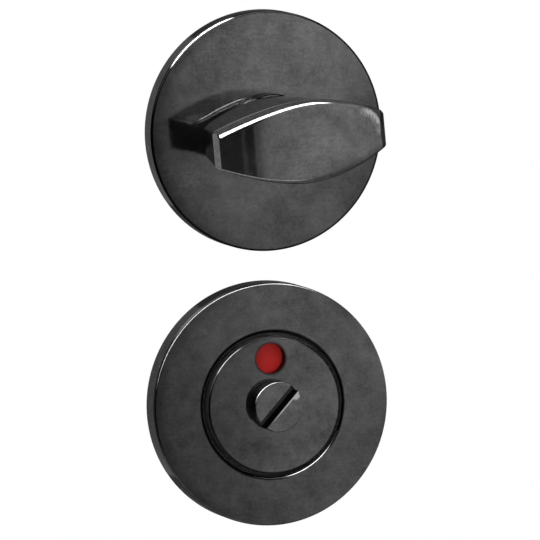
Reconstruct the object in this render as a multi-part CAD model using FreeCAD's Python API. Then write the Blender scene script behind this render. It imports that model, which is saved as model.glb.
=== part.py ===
import FreeCAD, Part
import math
import os

# Bathroom thumb turn lock: the inside half with its thumb turn, and the outside half with
# its coin release and indicator, laid one above the other with both backs on the door face.
# Millimetres. The door face is the plane y = 0 and both halves face -Y, with +Z up.
# "Proud" is a distance in front of the door face, and a negative one lies in the door.
# The origin is the thumb turn's axis on the door face.

# Layout
halves_spacing = 59.1
turn_rest_angle = 4.6

# Clearances
running_gap = 0.05
moving_face_gap = 0.3
socket_gap = 0.05
screw_gap = 0.25
screw_seat_margin = 0.35

# Dome shared by both roses
rose_dome_radius = 250.0
rose_edge_round = 0.35

# Inside rose
turn_rose_radius = 26.0
turn_rose_thickness = 4.7
turn_rose_wall = 1.5
turn_rose_opening = 6.2

# Outside rose
release_rose_step = 0.35
release_rose_thickness = 6.0
release_rose_wall = 1.7
release_rose_opening = 15.5
release_rose_lip_round = 0.8

# Base plates
plate_thickness = 2.0
plate_rim_width = 1.2
plate_rim_height = 2.9
plate_edge_gap = 0.05

# Shared running gear behind and through the plates
bush_wall = 2.0
bush_flange_width = 1.5
bush_flange_thickness = 0.7
shank_radius = 4.75
shank_reach = 4.2
spindle_width = 5.0
washer_width = 2.6
washer_thickness = 0.7
wave_thickness = 0.3
wave_height = 0.25
wave_count = 3
circlip_thickness = 0.8
circlip_width = 2.0
circlip_groove_depth = 0.4
circlip_opening = 70.0

# Thumb turn casting, heights over the foot's seat
foot_radius = 8.4
foot_height = 3.7
foot_edge_round = 0.5
grip_base_height = 3.0
grip_end_drop = 5.5
grip_half_length = 19.45
grip_half_width = 8.75
grip_shoulder_half_width = 7.25
grip_end_half_width = 3.85
grip_end_draft = 10.5
grip_side_draft = 2.4
crest_height = 28.1
crest_radius = 39.5
grip_end_bevel = 1.35
grip_side_round = 0.5
grip_thumb_round = 2.4
grip_heel_round = 4.0
grip_edge_round = 0.8
socket_height = 11.0

# Spindle and its grub screw
spindle_reach = 45.0
grub_radius = 2.0
grub_height = 7.0
grub_length = 4.0
grub_key_width = 2.0
grub_key_depth = 2.0

# Through screws and pillars
screw_radius = 2.0
screw_head_radius = 3.9
screw_reach = 30.0
screw_slot_width = 1.0
screw_slot_depth = 0.9
screw_end_bevel = 0.5
pillar_radius = 3.0
pillar_length = 24.0
pillar_thread_depth = 20.0
pillar_thread_radius = 1.65
pillar_spigot_radius = 2.4
pillar_end_bevel = 0.4

# Raised disc of the outside half
face_disc_radius = 14.9
face_disc_proud = 8.2
face_disc_front_wall = 2.4
face_disc_side_wall = 1.1
face_disc_edge_round = 0.35
face_disc_flange_radius = 18.0
knob_hole_gap = 0.5
window_radius = 3.32
window_offset_x = -0.7
window_offset_z = 10.2

# Release knob
knob_radius = 5.5
knob_height = 3.1
knob_edge_round = 0.3
coin_slot_angle = 47.5
coin_slot_width = 2.0
coin_slot_depth = 2.1
release_socket_depth = 6.6

# Indicator
indicator_thickness = 0.7
indicator_pin_radius = 0.5
indicator_pin_overhang = 1.2

# Values that follow
turn_dome_centre = turn_rose_thickness - math.sqrt(rose_dome_radius ** 2 - turn_rose_radius ** 2)
turn_crown = turn_dome_centre + math.sqrt(rose_dome_radius ** 2 - turn_rose_opening ** 2)
turn_seat = turn_crown + moving_face_gap
release_z = -halves_spacing
release_rose_radius = turn_rose_radius + release_rose_step
release_dome_centre = release_rose_thickness - math.sqrt(rose_dome_radius ** 2 - release_rose_radius ** 2)
release_dome_inner = rose_dome_radius - release_rose_wall
release_ceiling = release_dome_centre + math.sqrt(release_dome_inner ** 2 - face_disc_flange_radius ** 2)
face_disc_inner = face_disc_proud - face_disc_front_wall
face_disc_inside = face_disc_radius - face_disc_side_wall
indicator_radius = face_disc_inside - moving_face_gap
indicator_front = face_disc_inner - moving_face_gap
indicator_back = indicator_front - indicator_thickness
bush_bore = shank_radius + running_gap
bush_radius = bush_bore + bush_wall
bush_front = plate_thickness + bush_flange_thickness
wave_front = -moving_face_gap
wave_back = wave_front - 2 * wave_height - wave_thickness
washer_back = wave_back - washer_thickness
circlip_back = washer_back - circlip_thickness
groove_radius = shank_radius - circlip_groove_depth
screw_hole_radius = screw_radius + screw_gap
turn_plate_radius = turn_rose_radius - turn_rose_wall - plate_edge_gap
fixing_radius = turn_plate_radius - plate_rim_width - screw_seat_margin - screw_head_radius
countersink_depth = screw_head_radius - screw_radius
socket_width = spindle_width + 2 * socket_gap
grip_end_height = crest_height - grip_end_drop
OUT = FreeCAD.Vector(0, -1, 0)


def point(x, proud, z):
    """A point given by its distance in front of the door face."""
    return FreeCAD.Vector(x, -proud, z)


def disc(radius, back, front, x=0.0, z=0.0):
    """A cylinder square to the door, between two distances in front of its face."""
    return Part.makeCylinder(radius, front - back, point(x, back, z), OUT)


def turned(outline, z=0.0):
    """A body turned about an axis square to the door, from points of radius and proud distance."""
    corners = [point(radius, proud, 0) for radius, proud in outline]
    section = Part.Face(Part.makePolygon(corners + corners[:1]))
    body = section.revolve(FreeCAD.Vector(0, 0, 0), FreeCAD.Vector(0, 1, 0), 360)
    body.translate(FreeCAD.Vector(0, 0, z))
    return body


def bar(width, height, back, front, x=0.0, z=0.0):
    """A rectangular bar square to the door, centred on an axis."""
    corner = FreeCAD.Vector(x - width / 2, -front, z - height / 2)
    return Part.makeBox(width, front - back, height, corner)


def round_edges(body, radius, proud):
    """The circular edges of one radius at one distance in front of the door face."""
    found = []
    for edge in body.Edges:
        curve = edge.Curve
        if not isinstance(curve, Part.Circle):
            continue
        if abs(curve.Radius - radius) < 1e-4 and abs(curve.Center.y + proud) < 1e-4:
            found.append(edge)
    return found


def turned_by(body, angle, z=0.0):
    """The body turned counter-clockwise, as seen from the front, about an axis square to the door."""
    body.rotate(FreeCAD.Vector(0, 0, z), OUT, angle)
    return body


def domed_disc(radius, dome_centre, dome_radius, z):
    """A disc on the door face whose front is part of a large sphere."""
    sphere = Part.makeSphere(dome_radius, point(0, dome_centre, z))
    return disc(radius, 0, dome_centre + dome_radius, z=z).common(sphere)


def rose_cover(radius, dome_centre, wall, opening, lip_round, z):
    """A round domed cover, open behind, that screws on the base plate's rim."""
    cover = domed_disc(radius, dome_centre, rose_dome_radius, z)
    cover = cover.cut(domed_disc(radius - wall, dome_centre, rose_dome_radius - wall, z))
    cover = cover.cut(disc(opening, 0, dome_centre + rose_dome_radius, z=z))
    for rim, rounding in ((radius, rose_edge_round), (opening, lip_round)):
        proud = dome_centre + math.sqrt(rose_dome_radius ** 2 - rim ** 2)
        cover = cover.makeFillet(rounding, round_edges(cover, rim, proud))
    return cover


def base_plate(rim, z):
    """A pressed plate with a threaded rim, bored for the bush."""
    outline = [
        (bush_radius, 0),
        (rim, 0),
        (rim, plate_rim_height),
        (rim - plate_rim_width, plate_rim_height),
        (rim - plate_rim_width, plate_thickness),
        (bush_radius, plate_thickness),
    ]
    return turned(outline, z)


def fixing_points():
    """The two fixing centres, above and below the axis."""
    return (-fixing_radius, fixing_radius)


def turn_base_plate():
    """The inside half's plate, countersunk for the through screws."""
    plate = base_plate(turn_plate_radius, 0)
    for z in fixing_points():
        plate = plate.cut(disc(screw_hole_radius, 0, plate_thickness, z=z))
        mouth = Part.makeCone(
            screw_hole_radius,
            screw_head_radius + screw_gap,
            countersink_depth,
            point(0, plate_thickness - countersink_depth, z),
            OUT,
        )
        plate = plate.cut(mouth)
    return plate


def release_base_plate():
    """The outside half's plate, drilled for the pillars' spigots."""
    plate = base_plate(release_rose_radius - release_rose_wall - plate_edge_gap, release_z)
    for z in fixing_points():
        plate = plate.cut(disc(pillar_spigot_radius, 0, plate_thickness, z=release_z + z))
    return plate


def bush(z):
    """A flanged bearing bush pressed in its plate."""
    outline = [
        (bush_bore, 0),
        (bush_radius, 0),
        (bush_radius, plate_thickness),
        (bush_radius + bush_flange_width, plate_thickness),
        (bush_radius + bush_flange_width, bush_front),
        (bush_bore, bush_front),
    ]
    return turned(outline, z)


def wave_washer(z):
    """A thin ring bent in even waves round the shank."""
    def rim(radius):
        steps = wave_count * 8
        points = []
        for step in range(steps):
            angle = 2 * math.pi * step / steps
            proud = wave_back + wave_height * (1 + math.cos(wave_count * angle))
            points.append(point(radius * math.cos(angle), proud, z + radius * math.sin(angle)))
        curve = Part.BSplineCurve()
        curve.interpolate(Points=points, PeriodicFlag=True)
        return curve.toShape()
    inner = shank_radius + running_gap
    sheet = Part.makeRuledSurface(rim(inner), rim(inner + washer_width))
    return Part.Solid(sheet.extrude(OUT * wave_thickness))


def plain_washer(z):
    """A flat washer between the wave washer and the circlip."""
    inner = shank_radius + running_gap
    ring = disc(inner + washer_width, washer_back, wave_back, z=z)
    return ring.cut(disc(inner, washer_back, wave_back, z=z))


def circlip(z):
    """An open ring in the shank's groove."""
    ring = disc(shank_radius + circlip_width, circlip_back, washer_back, z=z)
    ring = ring.cut(disc(groove_radius, circlip_back, washer_back, z=z))
    reach = shank_radius + circlip_width
    half = math.radians(circlip_opening / 2)
    wedge = Part.makePolygon([
        point(0, circlip_back, z),
        point(2 * reach * math.sin(half), circlip_back, z - 2 * reach * math.cos(half)),
        point(-2 * reach * math.sin(half), circlip_back, z - 2 * reach * math.cos(half)),
        point(0, circlip_back, z),
    ])
    return ring.cut(Part.Face(wedge).extrude(OUT * circlip_thickness))


def shank(front, z):
    """A turned shank through the bush, with its circlip groove."""
    body = disc(shank_radius, -shank_reach, front, z=z)
    groove = disc(shank_radius, circlip_back, washer_back, z=z)
    return body.cut(groove.cut(disc(groove_radius, circlip_back, washer_back, z=z)))


def grip_outline(height):
    """The grip's lens outline at one height, drafted in towards the foot."""
    drop = grip_end_height - height
    inset = drop * math.tan(math.radians(grip_side_draft))
    length = grip_half_length - drop * math.tan(math.radians(grip_end_draft))
    middle = grip_half_width - inset
    shoulder = grip_shoulder_half_width - inset
    end = grip_end_half_width - inset
    proud = turn_seat + height
    edges = []
    for side in (1, -1):
        curve = Part.BSplineCurve()
        curve.interpolate([
            point(-side * length, proud, side * end),
            point(-side * length / 2, proud, side * shoulder),
            point(0, proud, side * middle),
            point(side * length / 2, proud, side * shoulder),
            point(side * length, proud, side * end),
        ])
        edges.append(curve.toShape())
        edges.append(Part.makeLine(
            point(side * length, proud, side * end),
            point(side * length, proud, -side * end),
        ))
    return Part.Wire(edges)


def middle_of(edge):
    """How far an edge's middle lies along the grip, over its seat and to the side."""
    middle = edge.valueAt((edge.FirstParameter + edge.LastParameter) / 2)
    return abs(middle.x), -middle.y - turn_seat, abs(middle.z)


def grip():
    """The drafted lens body under its convex face, with bevelled ends and rounded heels.

    The round along each side widens towards the end that the thumb presses.
    """
    over_crest = crest_height + grip_base_height
    body = Part.makeLoft([grip_outline(grip_base_height), grip_outline(over_crest)], True, True)
    reach = grip_half_width + grip_half_length
    crest = Part.makeCylinder(
        crest_radius,
        2 * reach,
        point(0, turn_seat + crest_height - crest_radius, -reach),
        FreeCAD.Vector(0, 0, 1),
    )
    body = body.common(crest)
    halfway = (grip_base_height + crest_height) / 2
    ends = []
    for edge in body.Edges:
        along, height, aside = middle_of(edge)
        if along > grip_half_length / 2 and height > halfway and aside < grip_end_half_width / 2:
            ends.append(edge)
    body = body.makeChamfer(grip_end_bevel, ends)
    face_middle = (grip_end_height + crest_height) / 2
    for side in (1, -1):
        for edge in body.Edges:
            middle = edge.valueAt((edge.FirstParameter + edge.LastParameter) / 2)
            if middle_of(edge)[1] < face_middle or middle.z * side < grip_end_half_width:
                continue
            rounds = (grip_side_round, grip_thumb_round)
            if edge.Vertexes[0].X * side < 0:
                rounds = (grip_thumb_round, grip_side_round)
            body = body.makeFillet(rounds[0], rounds[1], [edge])
            break
    heels = []
    for edge in body.Edges:
        along, height, aside = middle_of(edge)
        if along > grip_half_length / 2 and height < grip_base_height + grip_edge_round:
            heels.append(edge)
    body = body.makeFillet(grip_heel_round, heels)
    corners = []
    for edge in body.Edges:
        along, height, aside = middle_of(edge)
        lean = abs(edge.tangentAt((edge.FirstParameter + edge.LastParameter) / 2).x)
        low = height < grip_base_height + grip_heel_round
        if (low or height < face_middle and lean < 0.75) and aside > grip_end_half_width / 2:
            corners.append(edge)
    return body.makeFillet(grip_edge_round, corners)


def thumb_turn():
    """The cast grip on its round foot, with the shank and the square socket."""
    foot = disc(foot_radius, turn_seat, turn_seat + foot_height)
    foot = foot.makeFillet(foot_edge_round, round_edges(foot, foot_radius, turn_seat + foot_height))
    body = grip().fuse(foot).fuse(shank(turn_seat, 0))
    body = body.cut(bar(socket_width, socket_width, -shank_reach, turn_seat + socket_height))
    hole = Part.makeCylinder(
        grub_radius,
        grip_half_width,
        point(0, turn_seat + grub_height, 0),
        FreeCAD.Vector(0, 0, -1),
    )
    return turned_by(body.cut(hole), turn_rest_angle)


def spindle():
    """The square bar that goes through the lock to the outside half."""
    top = turn_seat + socket_height - moving_face_gap
    return turned_by(bar(spindle_width, spindle_width, -spindle_reach, top), turn_rest_angle)


def spindle_grub_screw():
    """A headless screw with a hexagon socket, bearing on the spindle."""
    down = FreeCAD.Vector(0, 0, -1)
    seat = point(0, turn_seat + grub_height, -spindle_width / 2)
    screw = Part.makeCylinder(grub_radius, grub_length, seat, down)
    key_radius = grub_key_width / math.sqrt(3)
    corners = []
    for corner in range(7):
        angle = math.radians(60 * corner)
        offset = FreeCAD.Vector(key_radius * math.cos(angle), key_radius * math.sin(angle), 0)
        corners.append(seat + down * grub_length + offset)
    key = Part.Face(Part.makePolygon(corners)).extrude(down * -grub_key_depth)
    return turned_by(screw.cut(key), turn_rest_angle)


def through_screws():
    """The two countersunk screws that draw the halves together through the door."""
    screws = []
    for z in fixing_points():
        body = disc(screw_radius, -screw_reach, plate_thickness, z=z)
        body = body.makeChamfer(screw_end_bevel, round_edges(body, screw_radius, -screw_reach))
        head = Part.makeCone(
            screw_radius,
            screw_head_radius,
            countersink_depth,
            point(0, plate_thickness - countersink_depth, z),
            OUT,
        )
        slot = bar(
            2 * screw_head_radius,
            screw_slot_width,
            plate_thickness - screw_slot_depth,
            plate_thickness,
            z=z,
        )
        screws.append(body.fuse(head).cut(slot).removeSplitter())
    return Part.makeCompound(screws)


def threaded_pillars():
    """The two pillars riveted in the outside plate, bored from behind for the through screws."""
    pillars = []
    for offset in fixing_points():
        z = release_z + offset
        body = disc(pillar_radius, -pillar_length, 0, z=z)
        body = body.makeChamfer(pillar_end_bevel, round_edges(body, pillar_radius, -pillar_length))
        body = body.fuse(disc(pillar_spigot_radius, 0, plate_thickness, z=z))
        thread = disc(pillar_thread_radius, -pillar_length, pillar_thread_depth - pillar_length, z=z)
        pillars.append(body.cut(thread))
    return Part.makeCompound(pillars)


def release_face_disc():
    """The raised disc, a flanged cup with the window and the knob's hole."""
    flange_front = release_ceiling - plate_edge_gap
    hole = shank_radius + knob_hole_gap
    outline = [
        (face_disc_inside, plate_thickness),
        (face_disc_flange_radius, plate_thickness),
        (face_disc_flange_radius, flange_front),
        (face_disc_radius, flange_front),
        (face_disc_radius, face_disc_proud),
        (hole, face_disc_proud),
        (hole, face_disc_inner),
        (face_disc_inside, face_disc_inner),
    ]
    cup = turned(outline, release_z)
    cup = cup.makeFillet(face_disc_edge_round, round_edges(cup, face_disc_radius, face_disc_proud))
    window = disc(
        window_radius, face_disc_inner, face_disc_proud, window_offset_x, release_z + window_offset_z
    )
    return cup.cut(window)


def release_knob():
    """The round knob with its coin slot, on a shank socketed for the spindle."""
    seat = face_disc_proud + moving_face_gap
    front = seat + knob_height
    head = disc(knob_radius, seat, front, z=release_z)
    head = head.makeFillet(knob_edge_round, round_edges(head, knob_radius, front))
    slot = bar(4 * knob_radius, coin_slot_width, front - coin_slot_depth, front, z=release_z)
    head = head.cut(turned_by(slot, coin_slot_angle, release_z))
    body = head.fuse(shank(seat, release_z))
    socket = bar(socket_width, socket_width, -shank_reach, release_socket_depth - shank_reach, z=release_z)
    return body.cut(turned_by(socket, turn_rest_angle, release_z)).cut(indicator_pin())


def indicator_disc():
    """The coloured disc that shows through the window and turns with the knob."""
    body = disc(indicator_radius, indicator_back, indicator_front, z=release_z)
    return body.cut(disc(shank_radius, indicator_back, indicator_front, z=release_z))


def indicator_pin():
    """The cross pin behind the indicator disc, through the knob's shank."""
    reach = shank_radius + indicator_pin_overhang
    proud = indicator_back - indicator_pin_radius
    start = point(-reach, proud, release_z)
    return Part.makeCylinder(indicator_pin_radius, 2 * reach, start, FreeCAD.Vector(1, 0, 0))


pieces = {
    "turn_rose_cover": rose_cover(
        turn_rose_radius, turn_dome_centre, turn_rose_wall, turn_rose_opening, rose_edge_round, 0
    ),
    "turn_base_plate": turn_base_plate(),
    "turn_bush": bush(0),
    "thumb_turn": thumb_turn(),
    "turn_wave_washer": wave_washer(0),
    "turn_washer": plain_washer(0),
    "turn_circlip": circlip(0),
    "spindle": spindle(),
    "spindle_grub_screw": spindle_grub_screw(),
    "through_screws": through_screws(),
    "release_rose_cover": rose_cover(
        release_rose_radius,
        release_dome_centre,
        release_rose_wall,
        release_rose_opening,
        release_rose_lip_round,
        release_z,
    ),
    "release_base_plate": release_base_plate(),
    "release_bush": bush(release_z),
    "release_face_disc": release_face_disc(),
    "release_knob": release_knob(),
    "indicator_disc": indicator_disc(),
    "indicator_pin": indicator_pin(),
    "release_wave_washer": wave_washer(release_z),
    "release_washer": plain_washer(release_z),
    "release_circlip": circlip(release_z),
    "threaded_pillars": threaded_pillars(),
}

os.makedirs("parts", exist_ok=True)
for name, shape in pieces.items():
    shape.exportStep("parts/" + name + ".step")
    print(name, len(shape.Solids), shape.isValid(), round(shape.Volume, 2))
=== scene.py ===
"""Bathroom thumb turn lock: finishes, fine pieces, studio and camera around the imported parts.

Metres, +Z up. The door face is the plane y = 0, and both halves face -Y. Shader sums are in
millimetres, and "proud" is a distance in front of the door face.
"""

import math

import bmesh
import bpy
from mathutils import Matrix, Vector


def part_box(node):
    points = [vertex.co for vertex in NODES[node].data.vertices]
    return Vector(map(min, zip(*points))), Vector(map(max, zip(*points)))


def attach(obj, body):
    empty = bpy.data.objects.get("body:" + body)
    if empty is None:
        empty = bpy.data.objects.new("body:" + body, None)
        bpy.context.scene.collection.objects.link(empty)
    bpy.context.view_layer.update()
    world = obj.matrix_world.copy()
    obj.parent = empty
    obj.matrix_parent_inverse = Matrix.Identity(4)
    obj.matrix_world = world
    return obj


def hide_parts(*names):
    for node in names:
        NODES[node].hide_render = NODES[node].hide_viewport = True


bl_info = {
    "name": "Bathroom thumb turn lock",
    "version": (1, 0, 0),
    "blender": (4, 5, 0),
    "location": "View3D > Sidebar > Lock",
    "description": "Builds the lock set's finishes, fine pieces and studio",
    "category": "Object",
}

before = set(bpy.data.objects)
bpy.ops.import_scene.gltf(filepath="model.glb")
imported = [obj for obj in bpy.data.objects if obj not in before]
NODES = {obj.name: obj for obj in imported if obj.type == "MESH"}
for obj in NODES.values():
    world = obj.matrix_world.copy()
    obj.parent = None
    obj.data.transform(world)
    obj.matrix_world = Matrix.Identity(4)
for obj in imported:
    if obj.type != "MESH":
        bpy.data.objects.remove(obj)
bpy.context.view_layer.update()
MM = 0.001

# Sizes of the parts that the finishes follow, in millimetres
DOME_RADIUS = 250.0
CREST_RADIUS = 39.5
RING_OPENING = 15.5
DISC_RADIUS = 14.9
WINDOW = (-0.7, 10.2)
KNOB_RADIUS = 5.5
SLOT_HALF_WIDTH = 1.0
SCREW_RADIUS = 2.0
THREAD_PITCH = 0.7
THREAD_DEPTH = 0.36

# Angles seen from the front, anticlockwise from the right
REST = math.radians(4.6)
SLOT_SLANT = math.radians(47.5)
WHITE_FIELD = math.radians(178.1)

# Arcs that catch the light, as the angle of their middle and half their spread, in degrees. Painted
# shade spares them, and the rose edge's arc gets a painted highlight
LIT_EDGE = (126, 13)
LIT_LIP = (-58, 16)
LIT_DISC = (135, 10)
LIT_KNOB = (126, 26)


def height_of(node):
    """The height of a part's middle, in millimetres."""
    low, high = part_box(node)
    return (low.z + high.z) / 2 / MM


def radius_of(node):
    """Half a round part's width, in millimetres."""
    low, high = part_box(node)
    return (high.x - low.x) / 2 / MM


def proud_of(node):
    """How far a part stands in front of the door face, in millimetres."""
    return -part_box(node)[0].y / MM


def dome_edge(crown, radius):
    """How far a domed rose's edge stands in front of the door face, from its crown, in millimetres."""
    return crown - DOME_RADIUS + math.sqrt(DOME_RADIUS ** 2 - radius ** 2)


class LockFinish(bpy.types.PropertyGroup):
    """Colours of the visible finishes, with the colour painted on highlights and on worn edges."""

    patina: bpy.props.FloatVectorProperty(
        name="Patina",
        description="Colour of the dark aged surface",
        subtype="COLOR",
        default=(0.112, 0.112, 0.114),
    )
    # Colour painted on highlights along edges, and on rubbed metal
    lit_and_worn: bpy.props.FloatVectorProperty(
        name="Worn edge",
        description="Colour of the metal where the patina has rubbed thin",
        subtype="COLOR",
        default=(0.5, 0.5, 0.49),
    )
    cloud_width: bpy.props.FloatProperty(
        name="Cloud width",
        description="Width of the patina's soft clouds",
        unit="LENGTH",
        default=0.014,
    )
    clouding: bpy.props.FloatProperty(
        name="Clouding",
        description="How much the clouds change the colour",
        subtype="FACTOR",
        min=0.0,
        max=1.0,
        default=0.5,
    )
    gloss: bpy.props.FloatProperty(
        name="Roughness",
        description="Roughness of the waxed surface between its clouds",
        subtype="FACTOR",
        min=0.0,
        max=1.0,
        default=0.085,
    )
    engaged: bpy.props.FloatVectorProperty(
        name="Engaged",
        description="Enamel colour that shows while the door is locked",
        subtype="COLOR",
        default=(0.5, 0.018, 0.015),
    )
    vacant: bpy.props.FloatVectorProperty(
        name="Vacant",
        description="Enamel colour that shows while the door is open",
        subtype="COLOR",
        default=(0.78, 0.77, 0.74),
    )
    zinc: bpy.props.FloatVectorProperty(
        name="Zinc",
        description="Colour of the plated steel behind the roses",
        subtype="COLOR",
        default=(0.56, 0.57, 0.58),
    )
    brass: bpy.props.FloatVectorProperty(
        name="Brass",
        description="Colour of the bushes and the pillars",
        subtype="COLOR",
        default=(0.62, 0.43, 0.17),
    )


class LockStudio(bpy.types.PropertyGroup):
    """Camera, floor and light."""

    yaw: bpy.props.FloatProperty(
        name="Yaw",
        description="How far the camera stands to the left of the roses' own direction",
        subtype="ANGLE",
        default=math.radians(17.7),
    )
    pitch: bpy.props.FloatProperty(
        name="Pitch",
        description="How far the camera looks down",
        subtype="ANGLE",
        default=math.radians(5.7),
    )
    roll: bpy.props.FloatProperty(
        name="Roll",
        description="Tilt of the camera about its own line of sight",
        subtype="ANGLE",
        default=math.radians(-0.65),
    )
    distance: bpy.props.FloatProperty(
        name="Distance",
        description="From the camera to the middle of the set",
        unit="LENGTH",
        default=2.5,
    )
    lens: bpy.props.FloatProperty(
        name="Lens",
        description="Focal length in millimetres on a 36 mm frame",
        default=771.5,
    )
    middle_height: bpy.props.FloatProperty(
        name="Middle height",
        description="Height of the middle of the set",
        unit="LENGTH",
        default=-0.0293,
    )
    aim_right: bpy.props.FloatProperty(
        name="Aim to the right",
        description="How far right of the middle the camera aims, in its own plane",
        unit="LENGTH",
        default=0.00188,
    )
    aim_up: bpy.props.FloatProperty(
        name="Aim up",
        description="How far above the middle the camera aims, in its own plane",
        unit="LENGTH",
        default=-0.00121,
    )
    floor_height: bpy.props.FloatProperty(
        name="Floor height",
        description="Height of the pale floor under the set",
        unit="LENGTH",
        default=-0.12,
    )
    floor_colour: bpy.props.FloatVectorProperty(
        name="Floor",
        description="Colour of the pale floor",
        subtype="COLOR",
        default=(0.8, 0.8, 0.8),
    )


class Value:
    """A socket of a node tree, on which a sum written in Python adds its Math nodes."""

    def __init__(self, shading, socket):
        self.shading = shading
        self.socket = socket

    def math(self, operation, *others):
        """One Math node on this value and the others."""
        return self.shading.math(operation, self, *others)

    def __add__(self, other):
        return self.math("ADD", other)

    __radd__ = __add__

    def __sub__(self, other):
        return self.math("SUBTRACT", other)

    def __rsub__(self, other):
        return self.shading.math("SUBTRACT", other, self)

    def __mul__(self, other):
        return self.math("MULTIPLY", other)

    __rmul__ = __mul__

    def __truediv__(self, other):
        return self.math("DIVIDE", other)

    def __rtruediv__(self, other):
        return self.shading.math("DIVIDE", other, self)

    def __neg__(self):
        return self * -1.0

    def size(self):
        """The value without its sign."""
        return self.math("ABSOLUTE")

    def root(self):
        """The square root."""
        return self.math("SQRT")

    def squared(self):
        """The value times itself."""
        return self * self

    def ramp(self, start, end):
        """A smooth step from 0 at start to 1 at end, where end may be the lower one."""
        if end < start:
            return 1.0 - self.ramp(end, start)
        return self.shading.node(
            "ShaderNodeMapRange",
            {"interpolation_type": "SMOOTHSTEP"},
            {"Value": self, "From Min": start, "From Max": end},
        )

    def between(self, outside, low, high, beyond):
        """Near 1 from low to high, and 0 outside and beyond them."""
        return self.ramp(outside, low) * self.ramp(beyond, high)

    def toward(self, other, amount):
        """The value turning into another as the amount goes from 0 to 1."""
        return self + (other - self) * amount

    def dimmed(self, mask, share):
        """The value lowered by a share of itself where the mask is 1."""
        return self * (1.0 - mask * share)


class Shading:
    """A node tree while its nodes are written."""

    def __init__(self, tree):
        self.tree = tree
        tree.nodes.clear()

    def node(self, kind, settings=None, inputs=None, output=0):
        """One node of a kind, from its settings and the values or links of its sockets."""
        made = self.tree.nodes.new(kind)
        for name, value in (settings or {}).items():
            setattr(made, name, value)
        for name, value in (inputs or {}).items():
            if isinstance(value, Value):
                self.tree.links.new(value.socket, made.inputs[name])
            else:
                made.inputs[name].default_value = value
        if not made.outputs:
            return None
        return Value(self, made.outputs[output])

    def math(self, operation, *values):
        """One Math node on values and numbers."""
        return self.node("ShaderNodeMath", {"operation": operation}, dict(enumerate(values)))

    def place(self):
        """The point on the object, in millimetres of the shared frame, as a vector."""
        found = self.node("ShaderNodeTexCoord", output="Object")
        return self.node(
            "ShaderNodeVectorMath", {"operation": "SCALE"}, {0: found, "Scale": 1 / MM}
        )

    def parts(self, vector):
        """The three numbers of a vector."""
        made = self.node("ShaderNodeSeparateXYZ", inputs={0: vector})
        return [Value(self, socket) for socket in made.socket.node.outputs]

    def moved(self, vector, shift, stretch=(1.0, 1.0, 1.0)):
        """The vector moved and stretched, so that one noise serves several pieces."""
        return self.node(
            "ShaderNodeMapping", {"vector_type": "POINT"},
            {"Vector": vector, "Location": shift, "Scale": stretch},
        )

    def noise(self, vector, width, detail=2.0, rough=0.5, warp=0.0):
        """Smooth noise whose lumps are about as wide as said, in millimetres, about 0.5."""
        return self.node(
            "ShaderNodeTexNoise",
            {"noise_dimensions": "3D"},
            {"Vector": vector, "Scale": 1 / width, "Detail": detail, "Roughness": rough,
             "Distortion": warp},
        )

    def blend(self, factor, first, second):
        """One colour turning into another as the factor goes from 0 to 1."""
        return self.node(
            "ShaderNodeMix",
            {"data_type": "RGBA", "clamp_factor": True},
            {0: factor, 6: first, 7: second},
            output=2,
        )

    def tinted(self, colour, value):
        """A colour made lighter or darker by a value."""
        return self.node(
            "ShaderNodeVectorMath", {"operation": "SCALE"}, {0: colour, "Scale": value}
        )

    def bump(self, height, depth, under=None):
        """A normal from a height between 0 and 1 that stands for a depth in metres."""
        inputs = {"Height": height, "Distance": depth, "Strength": 1.0}
        if under is not None:
            inputs["Normal"] = under
        return self.node("ShaderNodeBump", inputs=inputs)

    def finish(self, shader, kind="ShaderNodeOutputMaterial"):
        """Sends a shader to the tree's output."""
        self.node(kind, inputs={"Surface": shader})


def rgba(colour):
    """A property's colour with its alpha."""
    return (*colour, 1.0)


def new_finish(name):
    """A new material and the shading that writes it."""
    material = bpy.data.materials.new(name)
    material.use_nodes = True
    return material, Shading(material.node_tree)


def span(across, up):
    """The length of a line given by its two sides."""
    return (across.squared() + up.squared()).root()


def turned(x, up, angle):
    """A point's distances along a slanted line and square to it."""
    along = x * math.cos(angle) + up * math.sin(angle)
    aside = up * math.cos(angle) - x * math.sin(angle)
    return along, aside


def arc(x, up, bearing, half):
    """Near 1 where the direction of a point from a centre lies within an arc, in degrees."""
    along, aside = turned(x, up, math.radians(bearing))
    facing = along / (span(x, up) + 0.001)
    return facing.ramp(math.cos(math.radians(half + 8)), math.cos(math.radians(half - 4)))


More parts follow.
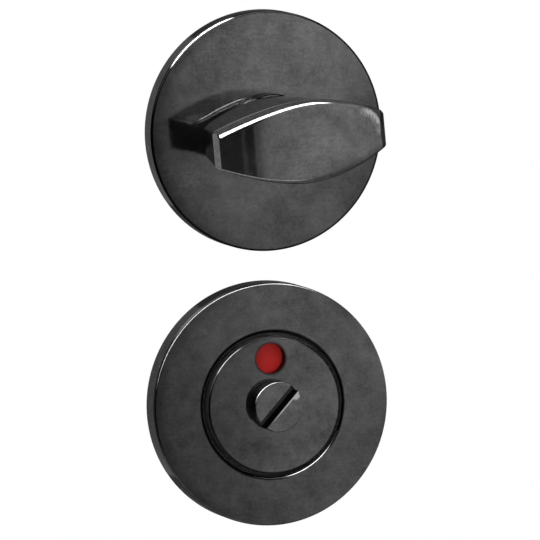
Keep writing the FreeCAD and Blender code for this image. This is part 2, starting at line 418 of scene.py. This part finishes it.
def patina(name, settings, shift, centre_z, tone, highlight_and_wear=None, dust=None):
    """Dark aged metal, waxed and cloudy.

    The tone gives how light the patina is, with painted shade in it. highlight_and_wear is near 1
    on painted highlights and on rubbed metal, and dust is near 1 where wax and dust have settled.
    Each is a function of the shading and of a point's distances to the right of the part's axis,
    in front of the door face and above the axis.
    """
    material, shading = new_finish(name)
    place = shading.place()
    x, y, z = shading.parts(place)
    spot = (x, -y, z - centre_z)
    own = shading.moved(place, shift)
    cloud = shading.noise(own, settings.cloud_width / MM, 3.0, 0.55, 0.4)
    blotch = shading.noise(own, 3.1, 4.0, 0.62)
    grain = shading.noise(own, 0.55, 3.0, 0.6)
    rubbed = shading.noise(shading.moved(own, (0, 0, 0), (0.12, 1.0, 1.6)), 0.5, 2.0, 0.5)
    light = 1.0 + (cloud - 0.5) * (2.4 * settings.clouding) + (blotch - 0.5) * 0.95
    light = light + (grain - 0.5) * 0.9 + (rubbed - 0.5) * 0.3
    colour = shading.tinted(settings.patina, light * tone(shading, *spot))
    rough = settings.gloss + (cloud - 0.5) * 0.06 + (blotch - 0.5) * 0.09 + (grain - 0.5) * 0.05
    # Painted highlights, and rubbed metal at the thumb turn's corner, take the light worn colour
    if highlight_and_wear is not None:
        lit_and_worn = (highlight_and_wear(shading, *spot) * (0.5 + grain)).math("MINIMUM", 1.0)
        colour = shading.blend(lit_and_worn, colour, rgba(settings.lit_and_worn))
    metal = 0.95
    if dust is not None:
        settled = dust(shading, *spot)
        rough = rough + settled * 0.3
        metal = 0.95 - settled * 0.55
    fine = shading.bump(grain, 1.2e-6)
    normal = shading.bump(blotch, 1.0e-5, fine)
    shader = shading.node(
        "ShaderNodeBsdfPrincipled",
        inputs={
            "Base Color": colour,
            "Metallic": metal,
            "Specular Tint": (0.5, 0.5, 0.5, 1.0),
            "Specular IOR Level": 0.2,
            "Roughness": rough,
            "Normal": normal,
        },
    )
    shading.finish(shader)
    return material


def turned_metal(name, colour, rough, axis_z, line_width, tarnish):
    """Plain turned or plated metal, with fine rings about an axis square to the door."""
    material, shading = new_finish(name)
    place = shading.place()
    x, y, z = shading.parts(place)
    across = span(x, z - axis_z)
    rings = shading.node(
        "ShaderNodeTexNoise",
        {"noise_dimensions": "1D"},
        {"W": across + y * 0.7, "Scale": 1 / line_width, "Detail": 3.0, "Roughness": 0.65},
    )
    film = shading.noise(place, 3.5, 4.0, 0.6)
    light = 1.0 + (rings - 0.5) * 0.35 - film.ramp(0.45, 0.75) * tarnish
    shader = shading.node(
        "ShaderNodeBsdfPrincipled",
        inputs={
            "Base Color": shading.tinted(colour, light),
            "Metallic": 1.0,
            "Roughness": rough + (film - 0.5) * 0.2 + (rings - 0.5) * 0.12,
            "Normal": shading.bump(rings, 2.0e-6),
        },
    )
    shading.finish(shader)
    return material


def enamel(name, settings, centre_z):
    """Satin red enamel with a white field, which the knob's quarter turn brings to the window."""
    material, shading = new_finish(name)
    place = shading.place()
    x, y, z = shading.parts(place)
    bearing = (z - centre_z).math("ARCTAN2", x)
    field = 1.0 - (bearing - WHITE_FIELD).math("COSINE").ramp(0.66, 0.69)
    speck = shading.noise(place, 0.5, 3.0, 0.6)
    soft = shading.noise(place, 4.0, 2.0)
    colour = shading.blend(field, rgba(settings.vacant), rgba(settings.engaged))
    light = 1.0 + (soft - 0.5) * 0.2 + (speck - 0.5) * 0.12
    shader = shading.node(
        "ShaderNodeBsdfPrincipled",
        inputs={
            "Base Color": shading.tinted(colour, light),
            "Metallic": 0.0,
            "Specular IOR Level": 0.12,
            "Roughness": 0.38 + (speck - 0.5) * 0.2,
            "Normal": shading.bump(speck, 4.0e-6),
        },
    )
    shading.finish(shader)
    return material


def dress(node, material):
    """Gives a part its finish."""
    slots = NODES[node].material_slots
    if not slots:
        NODES[node].data.materials.append(material)
    for slot in slots:
        slot.material = material


class LOCK_OT_rose_covers(bpy.types.Operator):
    """Finishes the two round covers, with painted shade toward their left, lower side and edges, and a
    painted highlight along their upper left edge
    """

    bl_idname = "lock.rose_covers"
    bl_label = "Rose covers"

    def execute(self, context):
        settings = context.scene.lock_finish
        # Columns: part, noise shift, overall tone, the painted shade's lean to the right, darkening to
        # the sides and rise upward, and whether the cover has a lipped opening
        rows = (
            ("turn_rose_cover", (31, 7, 3), 1.15, 0.08, 0.33, 0.14, 0.0),
            ("release_rose_cover", (5, 60, 17), 0.75, 0.2, 0.08, 0.0, 1.0),
        )
        for node, shift, base, lean, sides, rise, lipped in rows:
            radius = radius_of(node)
            edge = dome_edge(proud_of(node), radius)

            def from_edge(x, proud, up):
                return span(span(x, up) - (radius - 0.1), proud - (edge - 0.1))

            def tone(shading, x, proud, up):
                across = span(x, up)
                right = x / 20.0
                front = proud.ramp(edge - 0.5, edge - 0.2)
                # Painted shade: darker toward the left, toward both sides and lower down, and in a band
                # along the left edge
                shade = across.ramp(radius - 3.4, radius - 0.6) * x.ramp(4, -18) * front
                level = 1.0 + right * lean - right.squared() * sides + up * (rise / 20.0)
                level = 1.2 + (level - 1.2) * front
                # Painted shade along the outer edge and the opening's lip, except on the arcs that catch
                # the light
                outer = from_edge(x, proud, up).ramp(0.55, 0.3) * (1.0 - arc(x, up, *LIT_EDGE))
                lip = across.between(RING_OPENING + 0.1, RING_OPENING + 0.3, 16.2, 16.5) * lipped
                lip = lip * (1.0 - arc(x, up, *LIT_LIP))
                blotch = span(x + 17.8, up + 9.7).ramp(4.2, 0.5) * (1.0 - lipped)
                place = shading.place()
                blotch = blotch * shading.noise(place, 0.45, 3.0, 0.6).ramp(0.4, 0.7)
                level = level.dimmed(shade, 0.32).dimmed(outer, 0.95).dimmed(lip, 0.92)
                return level * (1.0 + blotch * 0.6) * base

            # Painted highlight on the arc of the outer edge that catches the light
            def highlight_and_wear(shading, x, proud, up):
                return from_edge(x, proud, up).ramp(0.6, 0.3) * arc(x, up, *LIT_EDGE)

            def dust(shading, x, proud, up):
                return span(x, up).ramp(RING_OPENING + 0.3, RING_OPENING + 0.1) * lipped

            finish = patina(node + "_patina", settings, shift, height_of(node), tone, highlight_and_wear, dust)
            dress(node, finish)
        return {"FINISHED"}


class LOCK_OT_thumb_turn(bpy.types.Operator):
    """Finishes the thumb turn, with painted shade on its ends, lower sides, foot and right bevel, a
    painted highlight on its keel, and a light corner, part rubbed and part painted highlight
    """

    bl_idname = "lock.thumb_turn"
    bl_label = "Thumb turn"

    def execute(self, context):
        settings = context.scene.lock_finish
        crown = proud_of("thumb_turn")

        def bow(along, aside):
            return span(along - 12.6, aside - 0.3) - 4.75

        def tone(shading, x, proud, up):
            along, aside = turned(x, up, REST)
            crest = (CREST_RADIUS ** 2 - along.squared()).root() - (CREST_RADIUS - crown)
            below = crest - proud
            reach = along.size() + below * 0.185
            # Painted shade: darker on the end walls, the lower sides, round the foot and its edge,
            # toward the face's lower right, on the right bevel and beside the corner band
            ends = reach.ramp(18.3, 19.2) * below.ramp(1.4, 2.2)
            side = below.ramp(1.0, 8.0)
            foot = proud.ramp(13.0, 10.2)
            ring = span(x, up).between(6.0, 6.6, 8.45, 8.6) * proud.ramp(10.6, 10.3)
            low = aside.ramp(-2.0, -8.0) * along.ramp(-4, 10)
            bevel = (along - aside.squared() * 0.02).ramp(17.35, 17.75)
            corner = bow(along, aside).ramp(0.5, 0.9) * along.ramp(13.0, 15.5) * aside.ramp(0.0, 1.0)
            level = (1.0 - ends * 0.7).dimmed(side, 0.45).dimmed(foot, 0.65).dimmed(ring, 0.8)
            return level.dimmed(low, 0.35).dimmed(bevel, 0.8).dimmed(corner, 0.6) * 1.4

        def highlight_and_wear(shading, x, proud, up):
            along, aside = turned(x, up, REST)
            drawn = shading.moved(shading.place(), (9, 2, 5), (1.0, 0.3, 0.25))
            streaks = shading.noise(drawn, 0.35, 3.0, 0.6)
            # A lighter streaked band at the upper right corner, part rubbed metal and part painted
            # highlight
            corner = bow(along, aside).between(-1.5, 0.1, 0.3, 0.8)
            corner = corner * along.between(12.0, 14.5, 17.2, 17.7) * aside.ramp(-1.5, 2.0)
            corner = corner * proud.ramp(25.0, 27.0) * streaks.ramp(0.3, 0.65) * 1.2
            # Painted highlight along the keel's edge, away from the foot
            keel = proud.ramp(10.4, 9.9) * aside.ramp(2.0, 3.0) * along.size().ramp(3.0, 4.5)
            return corner + keel

        finish = patina("thumb_turn_patina", settings, (3, 41, 11), 0.0, tone, highlight_and_wear)
        dress("thumb_turn", finish)
        return {"FINISHED"}


class LOCK_OT_release_face(bpy.types.Operator):
    """Finishes the raised disc, darker toward the left, with painted shade round its window and along
    its edge
    """

    bl_idname = "lock.release_face"
    bl_label = "Raised disc"

    def execute(self, context):
        settings = context.scene.lock_finish
        centre_z = height_of("release_face_disc")

        def tone(shading, x, proud, up):
            across = span(x, up)
            # Painted shade round the window's edge, and along the disc's rounded edge and side wall
            # except where it catches the light; the disc is also darker toward the left
            rim = span(x - WINDOW[0], up - WINDOW[1]).ramp(3.8, 3.5)
            outer = across.between(14.35, 14.6, DISC_RADIUS - 0.1, DISC_RADIUS - 0.02)
            outer = outer * (1.0 - arc(x, up, *LIT_DISC))
            outer = outer + across.ramp(DISC_RADIUS - 0.06, DISC_RADIUS - 0.02) * 0.45
            return (1.0 + x * 0.0275).dimmed(rim, 0.6).dimmed(outer, 0.9) * 0.82

        def dust(shading, x, proud, up):
            return span(x, up).ramp(DISC_RADIUS - 0.1, DISC_RADIUS - 0.02)

        finish = patina("raised_disc_patina", settings, (23, 9, 47), centre_z, tone, None, dust)
        dress("release_face_disc", finish)
        return {"FINISHED"}


class LOCK_OT_release_knob(bpy.types.Operator):
    """Finishes the coin release, with painted shade in its slot and round its edge, and a painted
    highlight along its slot
    """

    bl_idname = "lock.release_knob"
    bl_label = "Coin release"

    def execute(self, context):
        settings = context.scene.lock_finish
        centre_z = height_of("release_knob")
        front = proud_of("release_knob")

        def tone(shading, x, proud, up):
            aside = turned(x, up, SLOT_SLANT)[1]
            # Painted shade inside the slot and round the knob's edge, except where the edge catches the
            # light; the knob is also a little darker toward the left
            inside = aside.size().ramp(SLOT_HALF_WIDTH + 0.06, SLOT_HALF_WIDTH + 0.02)
            inside = inside * proud.ramp(front - 0.05, front - 0.3)
            outer = span(x, up).ramp(KNOB_RADIUS - 0.4, KNOB_RADIUS - 0.2)
            outer = outer * (1.0 - arc(x, up, *LIT_KNOB)) * (1.0 - arc(x, up, -40, 62))
            return (1.1 + x * 0.01).dimmed(inside, 0.8).dimmed(outer, 0.7)

        def highlight_and_wear(shading, x, proud, up):
            along, aside = turned(x, up, SLOT_SLANT)
            # Painted highlight along the slot's lower right edge, and a painted glint near its upper
            # right end
            past = -aside - SLOT_HALF_WIDTH
            edge = past.between(-0.04, 0.0, 0.2, 0.42) * along.ramp(-4.6, 0)
            glint = span(along - 4.2, past - 0.3).ramp(1.2, 0.3)
            return (edge * 0.9 + glint * 1.2) * proud.ramp(front - 0.12, front - 0.02)

        finish = patina("release_knob_patina", settings, (15, 2, 8), centre_z, tone, highlight_and_wear)
        dress("release_knob", finish)
        return {"FINISHED"}


class LOCK_OT_indicator(bpy.types.Operator):
    """Enamels the indicator disc"""

    bl_idname = "lock.indicator"
    bl_label = "Indicator"

    def execute(self, context):
        settings = context.scene.lock_finish
        finish = enamel("indicator_enamel", settings, height_of("indicator_disc"))
        dress("indicator_disc", finish)
        return {"FINISHED"}


class LOCK_OT_running_gear(bpy.types.Operator):
    """Finishes the plates, bushes, washers, clips and spindle"""

    bl_idname = "lock.running_gear"
    bl_label = "Running gear"

    def execute(self, context):
        settings = context.scene.lock_finish
        turn_z = height_of("turn_rose_cover")
        release_z = height_of("release_rose_cover")
        zinc = settings.zinc
        spring = settings.zinc * 0.5
        brass = settings.brass
        black = settings.patina * 0.6
        rows = (
            ("turn_base_plate", zinc, 0.3, turn_z, 0.6, 0.25),
            ("turn_bush", brass, 0.22, turn_z, 0.25, 0.3),
            ("turn_washer", zinc, 0.28, turn_z, 0.4, 0.2),
            ("turn_wave_washer", spring, 0.3, turn_z, 0.4, 0.2),
            ("turn_circlip", spring, 0.34, turn_z, 0.3, 0.3),
            ("spindle", zinc, 0.32, turn_z, 0.8, 0.3),
            ("spindle_grub_screw", black, 0.36, turn_z, 0.3, 0.2),
            ("release_base_plate", zinc, 0.3, release_z, 0.6, 0.25),
            ("release_bush", brass, 0.22, release_z, 0.25, 0.3),
            ("release_washer", zinc, 0.28, release_z, 0.4, 0.2),
            ("release_wave_washer", spring, 0.3, release_z, 0.4, 0.2),
            ("release_circlip", spring, 0.34, release_z, 0.3, 0.3),
            ("indicator_pin", zinc, 0.25, release_z, 0.3, 0.1),
            ("threaded_pillars", brass, 0.24, release_z, 0.4, 0.3),
        )
        for node, colour, rough, axis_z, line_width, tarnish in rows:
            dress(node, turned_metal(node + "_metal", colour, rough, axis_z, line_width, tarnish))
        return {"FINISHED"}


def thread_mesh(name, centres, radius, start, end, pitch, depth):
    """The threaded shanks of parallel screws along +Y, in metres, from centres given as x and z."""
    around = 32
    rows_per_turn = 8
    flank = 1.2
    rows = int((end - start) / pitch * rows_per_turn)
    points = []
    faces = []
    for centre_x, centre_z in centres:
        first = len(points)
        for row in range(rows + 1):
            y = start + (end - start) * row / rows
            fade = min(1.0, (y - start) / pitch, (end - y) / (pitch / 2))
            for step in range(around):
                turn = step / around
                wave = abs(2 * ((y / pitch - turn) % 1.0) - 1)
                reach = radius - depth * fade * (1 - min(1.0, wave * flank))
                right = reach * math.cos(turn * 2 * math.pi)
                up = reach * math.sin(turn * 2 * math.pi)
                points.append((centre_x + right, y, centre_z + up))
        for row in range(rows):
            for step in range(around):
                here = first + row * around + step
                beside = first + row * around + (step + 1) % around
                faces.append((here, here + around, beside + around, beside))
    mesh = bpy.data.meshes.new(name)
    mesh.from_pydata(points, [], faces)
    mesh.shade_smooth()
    return mesh


class LOCK_OT_through_screws(bpy.types.Operator):
    """Cuts the real thread on the two through screws, whose heads stay as they are"""

    bl_idname = "lock.through_screws"
    bl_label = "Through screws"

    def execute(self, context):
        settings = context.scene.lock_finish
        low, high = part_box("through_screws")
        head = (high.x - low.x) / 2
        radius = SCREW_RADIUS * MM
        centres = [(0.0, high.z - head), (0.0, low.z + head)]
        heads = NODES["through_screws"].data.copy()
        editing = bmesh.new()
        editing.from_mesh(heads)
        shank = []
        for face in editing.faces:
            away = []
            for vertex in face.verts:
                x, y, z = vertex.co
                away.append(min(abs(math.hypot(x - cx, z - cz) - radius) for cx, cz in centres))
            if max(away) < 0.02 * MM:
                shank.append(face)
        if not shank:
            raise RuntimeError("the screws' shanks weren't found")
        ends = [vertex.co.y for face in shank for vertex in face.verts]
        bmesh.ops.delete(editing, geom=shank, context="FACES")
        editing.to_mesh(heads)
        editing.free()
        threads = thread_mesh(
            "screw_threads", centres, radius, min(ends), max(ends), THREAD_PITCH * MM, THREAD_DEPTH * MM
        )
        material = turned_metal("screw_zinc", settings.zinc, 0.26, 0.0, 0.5, 0.2)
        for name, mesh in (("screw_heads", heads), ("screw_threads", threads)):
            mesh.materials.clear()
            mesh.materials.append(material)
            piece = bpy.data.objects.new(name, mesh)
            context.scene.collection.objects.link(piece)
            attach(piece, "roses")
            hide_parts("through_screws")
        return {"FINISHED"}


def softbox(name, place, aim, width, height, power):
    """A soft area light, not seen by the camera."""
    data = bpy.data.lights.new(name, "AREA")
    data.shape = "RECTANGLE"
    data.size = width
    data.size_y = height
    data.energy = power
    lamp = bpy.data.objects.new(name, data)
    lamp.location = place
    lamp.rotation_euler = (Vector(place) - Vector(aim)).to_track_quat("Z", "Y").to_euler()
    lamp.visible_camera = False
    lamp.visible_glossy = False
    bpy.context.scene.collection.objects.link(lamp)


class LOCK_OT_studio(bpy.types.Operator):
    """Sets the camera, the floor and the light"""

    bl_idname = "lock.studio"
    bl_label = "Studio"

    def execute(self, context):
        settings = context.scene.lock_studio
        self.set_camera(context, settings)
        self.set_floor(context, settings)
        self.set_world(context)
        self.set_lamps()
        context.scene.view_settings.view_transform = "Standard"
        return {"FINISHED"}

    def set_camera(self, context, settings):
        """A camera aimed a little beside the middle of the set, so that the frame needs no shift."""
        yaw, pitch, roll = settings.yaw, settings.pitch, settings.roll
        back = Vector((
            -math.sin(yaw) * math.cos(pitch),
            -math.cos(yaw) * math.cos(pitch),
            math.sin(pitch),
        ))
        level = Vector((0, 0, 1)).cross(back).normalized()
        upright = back.cross(level)
        right = level * math.cos(roll) + upright * math.sin(roll)
        up = upright * math.cos(roll) - level * math.sin(roll)
        middle = Vector((0, 0, settings.middle_height))
        place = middle + back * settings.distance + right * settings.aim_right + up * settings.aim_up
        data = bpy.data.cameras.new("camera")
        data.sensor_width = 36.0
        data.lens = settings.lens
        data.clip_end = 20.0
        camera = bpy.data.objects.new("camera", data)
        axes = Matrix((right, up, back)).transposed()
        camera.matrix_world = Matrix.Translation(place) @ axes.to_4x4()
        context.scene.collection.objects.link(camera)
        context.scene.camera = camera

    def set_floor(self, context, settings):
        """A pale floor that keeps the shadow near the set and turns white away from it."""
        rings = [0.0, 0.1, 0.25, 0.6, 2.0]
        steps = 48
        verts = [(0, 0, 0)]
        faces = []
        for ring, radius in enumerate(rings[1:]):
            for step in range(steps):
                angle = 2 * math.pi * step / steps
                verts.append((radius * math.cos(angle), radius * math.sin(angle), 0))
            first = 1 + ring * steps
            for step in range(steps):
                following = (step + 1) % steps
                if ring == 0:
                    faces.append((0, first + step, first + following))
                else:
                    inner = first - steps
                    faces.append((inner + step, first + step, first + following, inner + following))
        mesh = bpy.data.meshes.new("floor")
        mesh.from_pydata(verts, [], faces)
        floor = bpy.data.objects.new("floor", mesh)
        floor.location.z = settings.floor_height
        context.scene.collection.objects.link(floor)
        material, shading = new_finish("pale_floor")
        x, y, z = shading.parts(shading.node("ShaderNodeTexCoord", output="Object"))
        away = span(x, y).ramp(0.12, 0.24)
        rays = shading.node("ShaderNodeLightPath")
        seen = rays.socket.node.outputs
        shown = Value(shading, seen["Is Camera Ray"]) + Value(shading, seen["Is Glossy Ray"])
        shown = (shown + Value(shading, seen["Is Transmission Ray"])).math("MINIMUM", 1.0)
        paint = shading.node(
            "ShaderNodeBsdfPrincipled",
            inputs={"Base Color": rgba(settings.floor_colour), "Roughness": 0.85},
        )
        white = shading.node("ShaderNodeEmission", inputs={"Color": (1, 1, 1, 1), "Strength": 1.0})
        shading.finish(shading.node("ShaderNodeMixShader", inputs={0: shown * away, 1: paint, 2: white}))
        mesh.materials.append(material)
        floor.visible_glossy = False

    def set_world(self, context):
        """A room round the set: white for the camera, and zones of light for the metal to mirror."""
        world = bpy.data.worlds.new("room")
        world.use_nodes = True
        context.scene.world = world
        shading = Shading(world.node_tree)
        toward = shading.node("ShaderNodeTexCoord", output="Generated")
        x, y, z = shading.parts(toward)
        to_degrees = 180 / math.pi
        bearing = x.math("ARCTAN2", -y) * to_degrees
        height = z.math("ARCSINE") * to_degrees
        front = (0.6 + bearing.ramp(-12, 32) * 0.16) * (0.8 + height.ramp(-24, 14) * 0.42)
        behind = 0.12 + bearing.ramp(-148, -158) * 1.0
        level = front.toward(behind, bearing.size().ramp(112, 128))
        level = level * (0.42 + bearing.ramp(-15, -7) * 0.58)
        thin_line = bearing.between(-24, -23, -22, -21) * 0.12
        clear_line = bearing.between(-16, -15.2, -14.8, -14) * 0.5
        dark = 0.03 + thin_line + clear_line
        level = level.toward(dark, bearing.between(-102, -99, -16, -14.5))
        level = level.toward(0.85, bearing.between(-126, -118, -103, -99))
        level = level.toward(0.4, height.ramp(16, 40))
        level = level.toward(0.35, height.ramp(-28, -40))
        level = level + height.between(-52, -46, -32, -26) * bearing.ramp(34, 8) * 1.2
        right = bearing + height * 0.6
        sunk = height - bearing * 0.22
        softbox_seen = bearing.ramp(-78, -72) * right.ramp(70, 60) * sunk.between(22, 25, 50, 53)
        level = level + softbox_seen * 20.0
        seen = shading.node("ShaderNodeLightPath").socket.node.outputs
        camera = Value(shading, seen["Is Camera Ray"])
        glossy = Value(shading, seen["Is Glossy Ray"])
        level = 0.75 + (level - 0.75) * glossy
        strength = level + (1.0 - level) * camera
        room = shading.node("ShaderNodeBackground", inputs={"Color": (1, 1, 1, 1), "Strength": strength})
        shading.finish(room, "ShaderNodeOutputWorld")

    def set_lamps(self):
        """A soft box above and in front, for the floor's shadow."""
        softbox("overhead", (-0.25, -0.45, 0.65), (0, 0, -0.03), 0.35, 0.35, 3.0)


class LOCK_PT_panel(bpy.types.Panel):
    """The lock set's settings and its steps"""

    bl_label = "Thumb turn lock"
    bl_idname = "LOCK_PT_panel"
    bl_space_type = "VIEW_3D"
    bl_region_type = "UI"
    bl_category = "Lock"

    def draw(self, context):
        for settings in (context.scene.lock_finish, context.scene.lock_studio):
            column = self.layout.column()
            for name in settings.__annotations__:
                column.prop(settings, name)
        for step in STEPS:
            self.layout.operator(step.bl_idname)


STEPS = (
    LOCK_OT_rose_covers,
    LOCK_OT_thumb_turn,
    LOCK_OT_release_face,
    LOCK_OT_release_knob,
    LOCK_OT_indicator,
    LOCK_OT_running_gear,
    LOCK_OT_through_screws,
    LOCK_OT_studio,
)
CLASSES = (LockFinish, LockStudio) + STEPS + (LOCK_PT_panel,)


def register():
    for made in CLASSES:
        bpy.utils.register_class(made)
    bpy.types.Scene.lock_finish = bpy.props.PointerProperty(type=LockFinish)
    bpy.types.Scene.lock_studio = bpy.props.PointerProperty(type=LockStudio)


def unregister():
    del bpy.types.Scene.lock_studio
    del bpy.types.Scene.lock_finish
    for made in reversed(CLASSES):
        bpy.utils.unregister_class(made)


def main():
    register()
    bpy.ops.lock.rose_covers()
    bpy.ops.lock.thumb_turn()
    bpy.ops.lock.release_face()
    bpy.ops.lock.release_knob()
    bpy.ops.lock.indicator()
    bpy.ops.lock.running_gear()
    bpy.ops.lock.through_screws()
    bpy.ops.lock.studio()


if __name__ == "__main__":
    main()
